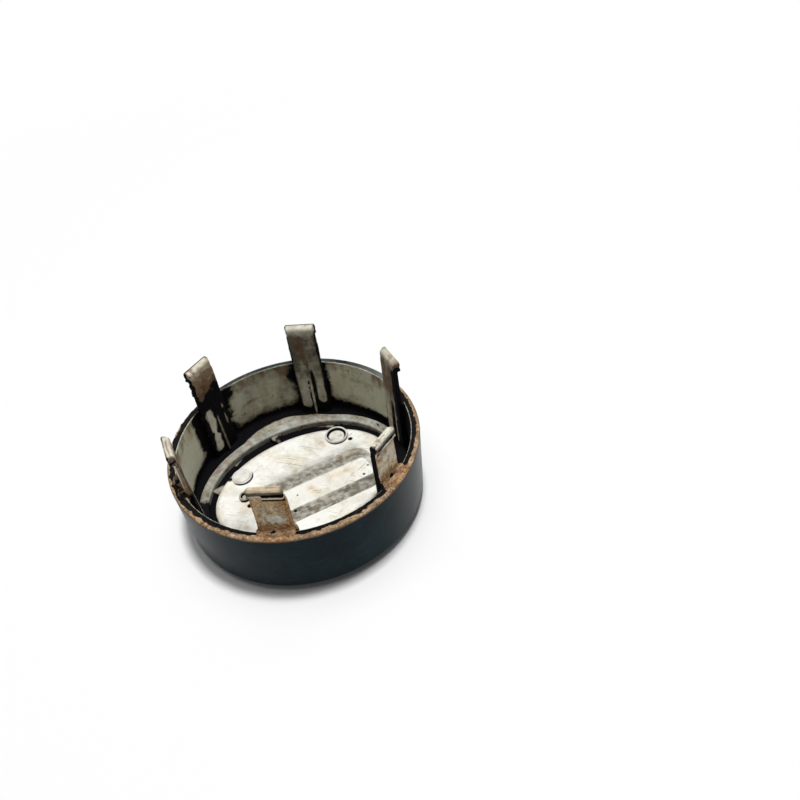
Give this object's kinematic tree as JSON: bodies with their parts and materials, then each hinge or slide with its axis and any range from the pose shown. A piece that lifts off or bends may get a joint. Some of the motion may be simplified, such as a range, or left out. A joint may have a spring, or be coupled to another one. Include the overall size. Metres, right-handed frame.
{
  "type": "wheel centre cap",
  "caption": "Round wheel centre cap: a painted moulded cup with a flat rim and a ring of hooked snap tabs that clip into a wheel's centre bore.",
  "frame": {"origin": "centre of the painted face, at its lowest point, on the surface that the cap lies on", "axes": "+Z along the cap's axis from the painted face towards the snap tabs, +X along the long axis of the oval rib inside, through one snap tab"},
  "size_m": [0.063, 0.063, 0.0335],
  "materials": {
    "cap_plastic": "satin dark paint outside, bare dirty white plastic inside"
  },
  "bodies": {
    "root": {"centre_cap": "cap_plastic"}
  },
  "joints": []
}
